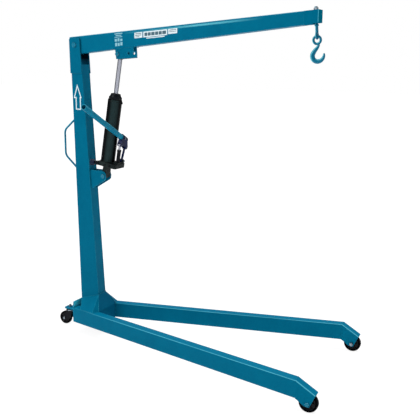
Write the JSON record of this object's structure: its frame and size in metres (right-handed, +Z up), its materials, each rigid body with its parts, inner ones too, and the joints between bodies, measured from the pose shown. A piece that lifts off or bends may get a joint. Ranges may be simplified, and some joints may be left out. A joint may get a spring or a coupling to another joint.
{
  "type": "engine hoist crane",
  "caption": "Wheeled workshop crane with splayed channel legs, a tapered mast and boom, a hand-pumped hydraulic ram, and a hook hanging from an eye bolt at the boom nose.",
  "frame": {"origin": "on the floor, on the centre plane, at the foot of the rear castor wheel", "axes": "+X points along the boom towards the hook, +Y to the left-hand side of the crane, +Z up"},
  "size_m": [1.9, 0.9074, 1.9704],
  "materials": {
    "blue_paint": "semi-gloss blue-green enamel",
    "black_paint": "satin black",
    "cast_black": "rough dark casting",
    "bright_steel": "ground and polished",
    "zinc_hardware": "zinc plated",
    "black_tyre": "matt black"
  },
  "bodies": {
    "frame": {"leg_right": "blue_paint", "leg_left": "blue_paint", "base_rear_plate": "blue_paint", "base_flare_plate_right": "blue_paint", "base_flare_plate_left": "blue_paint", "base_front_plate": "blue_paint", "castor_mount_plate": "blue_paint", "mast_channel": "blue_paint", "mast_front_plate": "blue_paint", "mast_cheek_right": "blue_paint", "mast_cheek_left": "blue_paint", "push_handle": "blue_paint", "ram_ear_right": "blue_paint", "ram_ear_left": "blue_paint", "ram_base_pin": "zinc_hardware", "ram_base_nut": "zinc_hardware", "boom_pivot_bolt": "zinc_hardware", "boom_pivot_nut": "zinc_hardware", "front_axle_bolt_right": "zinc_hardware", "front_axle_nut_right": "zinc_hardware", "front_axle_bolt_left": "zinc_hardware", "front_axle_nut_left": "zinc_hardware", "castor_king_bolt": "zinc_hardware", "castor_king_nut": "zinc_hardware"},
    "boom": {"boom_beam": "blue_paint", "boom_pivot_bush": "bright_steel", "boom_nose": "blue_paint", "ram_bracket_right": "blue_paint", "ram_bracket_left": "blue_paint", "ram_top_pin": "zinc_hardware", "ram_top_nut": "zinc_hardware"},
    "eye_bolt": {"eye_bolt": "blue_paint", "eye_bolt_nut": "zinc_hardware"},
    "hook": {"hook": "blue_paint"},
    "ram": {"ram_base_casting": "cast_black", "ram_reservoir": "black_paint", "ram_pressure_tube": "bright_steel", "ram_gland_nut": "black_paint", "filler_plug": "black_paint", "pump_barrel": "black_paint", "fulcrum_bolt": "zinc_hardware"},
    "rod": {"ram_rod": "bright_steel", "ram_piston_head": "bright_steel", "ram_rod_head": "black_paint"},
    "fulcrum_link": {"fulcrum_link": "black_paint"},
    "pump_handle": {"handle_socket": "black_paint", "handle_tube": "blue_paint", "fulcrum_pin": "zinc_hardware", "pump_piston_pin": "zinc_hardware"},
    "pump_piston": {"pump_piston": "bright_steel"},
    "release_valve": {"release_valve": "black_paint"},
    "front_wheel_right": {"front_wheel_right": "black_tyre"},
    "front_wheel_left": {"front_wheel_left": "black_tyre"},
    "castor_swivel": {"castor_swivel_head": "black_paint", "castor_fork": "black_paint", "castor_axle": "zinc_hardware"},
    "castor_wheel": {"castor_wheel": "black_tyre"}
  },
  "joints": [
    {"name": "boom_lift", "type": "hinge", "parent": "frame", "child": "boom", "pos_m": [0.1711, 0, 1.7892], "axis": [0, -1, 0], "range_deg": [-30, 25]},
    {"name": "ram_tilt", "type": "hinge", "parent": "frame", "child": "ram", "pos_m": [0.3435, 0, 1.014], "axis": [0, 1, 0], "range_deg": [-0.5, 0.5]},
    {"name": "rod_extend", "type": "slide", "parent": "ram", "child": "rod", "axis": [0.1682, 0, 0.9857], "range_m": [-0.153, 0.128]},
    {"name": "link_swing", "type": "hinge", "parent": "ram", "child": "fulcrum_link", "pos_m": [0.42918, 0.044, 1.1059], "axis": [0.9857, 0, -0.1682], "range_deg": [-4, 5]},
    {"name": "pump_handle_swing", "type": "hinge", "parent": "fulcrum_link", "child": "pump_handle", "pos_m": [0.44314, 0.06, 1.18771], "axis": [0.9857, 0, -0.1682], "range_deg": [-25, 20]},
    {"name": "pump_stroke", "type": "slide", "parent": "ram", "child": "pump_piston", "axis": [0.1682, 0, 0.9857], "range_m": [-0.017, 0.021]},
    {"name": "release_turn", "type": "hinge", "parent": "ram", "child": "release_valve", "pos_m": [0.33099, -0.042, 1.09526], "axis": [-0.9277, -0.3603, 0.0974], "range_deg": [0, 360]},
    {"name": "eye_bolt_swivel", "type": "hinge", "parent": "boom", "child": "eye_bolt", "pos_m": [1.641, 0, 1.905], "axis": [-0.0767, 0, 0.9971], "continuous": true},
    {"name": "hook_swing", "type": "hinge", "parent": "eye_bolt", "child": "hook", "pos_m": [1.64808, 0, 1.81297], "axis": [0, 1, 0], "range_deg": [-60, 60]},
    {"name": "front_wheel_right_spin", "type": "hinge", "parent": "frame", "child": "front_wheel_right", "pos_m": [1.808, -0.4197, 0.05], "axis": [0, 1, 0], "continuous": true},
    {"name": "front_wheel_left_spin", "type": "hinge", "parent": "frame", "child": "front_wheel_left", "pos_m": [1.808, 0.4197, 0.05], "axis": [0, 1, 0], "continuous": true},
    {"name": "castor_turn", "type": "hinge", "parent": "frame", "child": "castor_swivel", "pos_m": [0.036, 0, 0.1], "axis": [0, 0, 1], "continuous": true},
    {"name": "castor_wheel_spin", "type": "hinge", "parent": "castor_swivel", "child": "castor_wheel", "pos_m": [0, 0, 0.042], "axis": [0, 1, 0], "continuous": true}
  ],
  "couplings": [
    {"joint": "ram_tilt", "follows": "boom_lift", "ratio": 0.01},
    {"joint": "rod_extend", "follows": "boom_lift", "m_per_rad": 0.29},
    {"joint": "link_swing", "follows": "pump_handle_swing", "ratio": -0.19},
    {"joint": "pump_stroke", "follows": "pump_handle_swing", "m_per_rad": -0.047}
  ]
}
